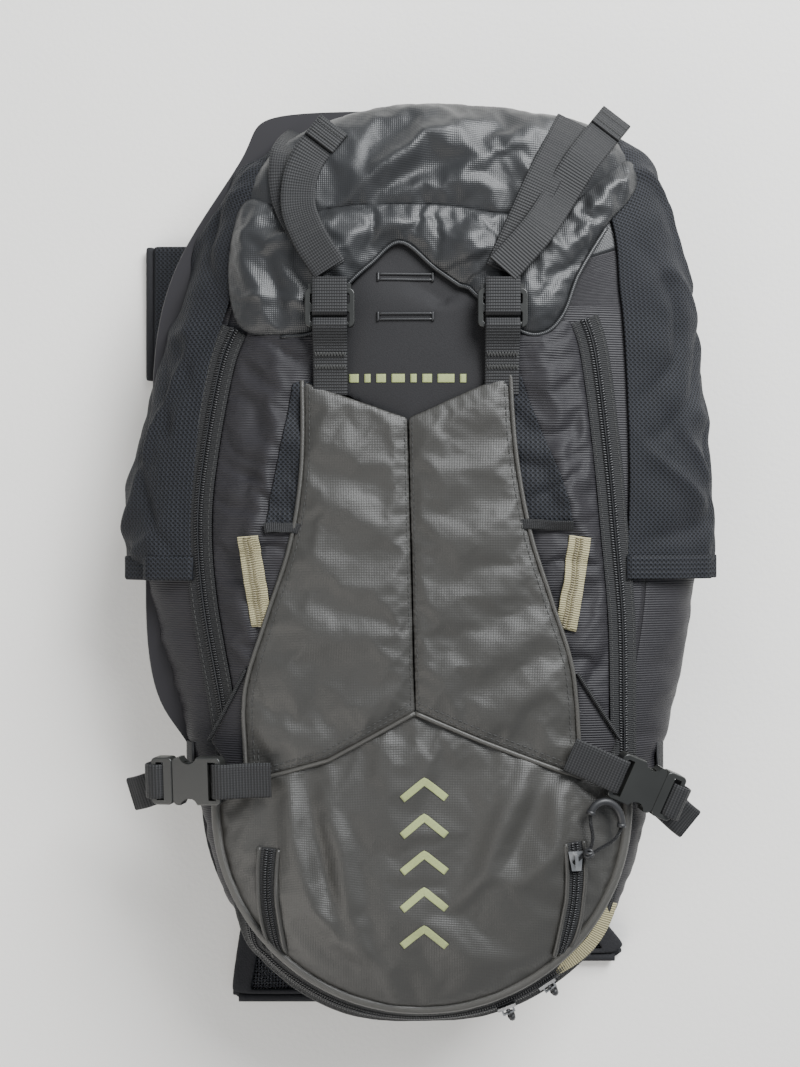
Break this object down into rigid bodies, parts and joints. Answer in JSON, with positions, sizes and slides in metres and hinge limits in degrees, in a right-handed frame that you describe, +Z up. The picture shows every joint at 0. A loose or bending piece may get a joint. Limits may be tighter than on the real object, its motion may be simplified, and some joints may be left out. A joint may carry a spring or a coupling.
{
  "type": "hydration backpack with reservoir",
  "caption": "Mountain hydration pack lying on its back, with a removable drinking reservoir, harness straps, buckles, mesh side pockets and zips.",
  "frame": {"origin": "on the surface that the pack lies on, under the middle of its outline", "axes": "+Z up out of the pack's front, +Y towards the pack's base, +X to the right when seen from above with the base at the far side"},
  "size_m": [0.3494, 0.5685, 0.1208],
  "materials": {
    "coated_ripstop": "satin",
    "harness_cloth": "satin",
    "ribbed_nylon": "matte",
    "stretch_cloth": "matte",
    "open_mesh": "matte",
    "webbing": "matte",
    "trim_tape": "matte",
    "foam": "matte",
    "zip_coil": "matte",
    "hardware_plastic": "satin",
    "slider_metal": "satin",
    "cord": "matte",
    "grip_rubber": "matte",
    "reservoir_film": "gloss",
    "port_plastic": "satin",
    "protector_foam": "matte"
  },
  "bodies": {
    "pack": {"back_foam": "foam", "back_binding": "webbing", "back_pads": "foam", "belt_roots": "ribbed_nylon", "shoulder_yokes": "ribbed_nylon", "back_wall": "ribbed_nylon", "front_wall": "ribbed_nylon", "side_wall_left": "ribbed_nylon", "side_wall_right": "ribbed_nylon", "base_wall": "coated_ripstop", "top_wall": "ribbed_nylon", "main_zip_tape": "zip_coil", "main_zip_teeth": "zip_coil", "reservoir_divider": "ribbed_nylon", "protector_plate": "protector_foam", "harness_left": "harness_cloth", "harness_right": "harness_cloth", "stretch_panel": "stretch_cloth", "base_flap": "coated_ripstop", "gussets": "ribbed_nylon", "inner_mesh_pockets": "open_mesh", "pale_zips": "trim_tape", "rim_piping": "harness_cloth", "front_pocket": "harness_cloth", "pocket_zip": "zip_coil", "ladder_loops": "webbing", "upper_strap_left": "webbing", "upper_strap_right": "webbing", "buckle_socket_left": "hardware_plastic", "buckle_socket_right": "hardware_plastic", "side_webbing": "webbing", "outer_mesh_left": "open_mesh", "outer_mesh_right": "open_mesh", "trim_tapes": "trim_tape"},
    "reservoir": {"reservoir_back_film": "reservoir_film", "reservoir_front_film": "reservoir_film", "filling_port": "port_plastic", "port_handle": "port_plastic", "tube_socket": "port_plastic"},
    "reservoir_cap": {"reservoir_cap": "port_plastic"},
    "release_button": {"release_button": "hardware_plastic"},
    "buckle_left": {"buckle_tongue_left": "hardware_plastic", "tongue_strap_left": "webbing"},
    "buckle_right": {"buckle_tongue_right": "hardware_plastic", "tongue_strap_right": "webbing"},
    "ladder_lock_left": {"ladder_lock_left": "hardware_plastic", "ladder_thread_left": "webbing"},
    "ladder_lock_right": {"ladder_lock_right": "hardware_plastic", "ladder_thread_right": "webbing"},
    "pocket_slider": {"pocket_slider": "slider_metal", "pull_cord": "cord", "pull_grip": "grip_rubber"},
    "main_slider_left": {"main_slider_left": "slider_metal", "main_pull_left": "cord"},
    "main_slider_right": {"main_slider_right": "slider_metal", "main_pull_right": "cord"},
    "belt_wing_left": {"belt_wing_left": "open_mesh"},
    "belt_wing_right": {"belt_wing_right": "open_mesh"},
    "shoulder_strap_left": {"shoulder_strap_left": "open_mesh"},
    "shoulder_strap_right": {"shoulder_strap_right": "open_mesh"}
  },
  "joints": [
    {"name": "reservoir_slide", "type": "slide", "parent": "pack", "child": "reservoir", "axis": [0, -1, 0], "range_m": [0, 0.42]},
    {"name": "cap_turn", "type": "hinge", "parent": "reservoir", "child": "reservoir_cap", "pos_m": [0, -0.148, 0.054], "axis": [0, 0, 1], "range_deg": [0, 90]},
    {"name": "port_button_press", "type": "slide", "parent": "reservoir", "child": "release_button", "axis": [-1, 0, 0], "range_m": [0, 0.002], "stiffness_N_per_m": 300},
    {"name": "buckle_release_left", "type": "slide", "parent": "pack", "child": "buckle_left", "axis": [-0.9653, -0.0337, -0.2588], "range_m": [0, 0.022]},
    {"name": "buckle_release_right", "type": "slide", "parent": "pack", "child": "buckle_right", "axis": [0.8824, -0.3929, -0.2588], "range_m": [0, 0.022]},
    {"name": "ladder_lock_left_tilt", "type": "hinge", "parent": "pack", "child": "ladder_lock_left", "pos_m": [-0.0485, 0.133, 0.115], "axis": [1, 0, 0], "range_deg": [0, 40]},
    {"name": "ladder_lock_right_tilt", "type": "hinge", "parent": "pack", "child": "ladder_lock_right", "pos_m": [0.0485, 0.133, 0.115], "axis": [1, 0, 0], "range_deg": [0, 40]},
    {"name": "pocket_zip_run", "type": "hinge", "parent": "pack", "child": "pocket_slider", "pos_m": [-0.055, -0.176, 0.115], "axis": [0, 0, 1], "range_deg": [-16, 0]},
    {"name": "main_zip_run_left", "type": "hinge", "parent": "pack", "child": "main_slider_left", "pos_m": [0, -0.14, 0.0935], "axis": [0, 0, 1], "range_deg": [-100, 0]},
    {"name": "main_zip_run_right", "type": "hinge", "parent": "pack", "child": "main_slider_right", "pos_m": [0, -0.14, 0.0935], "axis": [0, 0, 1], "range_deg": [0, 42]},
    {"name": "belt_wing_left_fold", "type": "hinge", "parent": "pack", "child": "belt_wing_left", "pos_m": [-0.1693, 0.156, 0.0044], "axis": [0, 1, 0], "range_deg": [0, 180]},
    {"name": "belt_wing_right_fold", "type": "hinge", "parent": "pack", "child": "belt_wing_right", "pos_m": [0.1373, 0.156, 0.0044], "axis": [0, -1, 0], "range_deg": [0, 180]},
    {"name": "shoulder_strap_left_fold", "type": "hinge", "parent": "pack", "child": "shoulder_strap_left", "pos_m": [-0.087, -0.2813, 0.0054], "axis": [-1, 0, 0], "range_deg": [0, 180]},
    {"name": "shoulder_strap_right_fold", "type": "hinge", "parent": "pack", "child": "shoulder_strap_right", "pos_m": [0.103, -0.2553, 0.0054], "axis": [-1, 0, 0], "range_deg": [0, 180]}
  ]
}
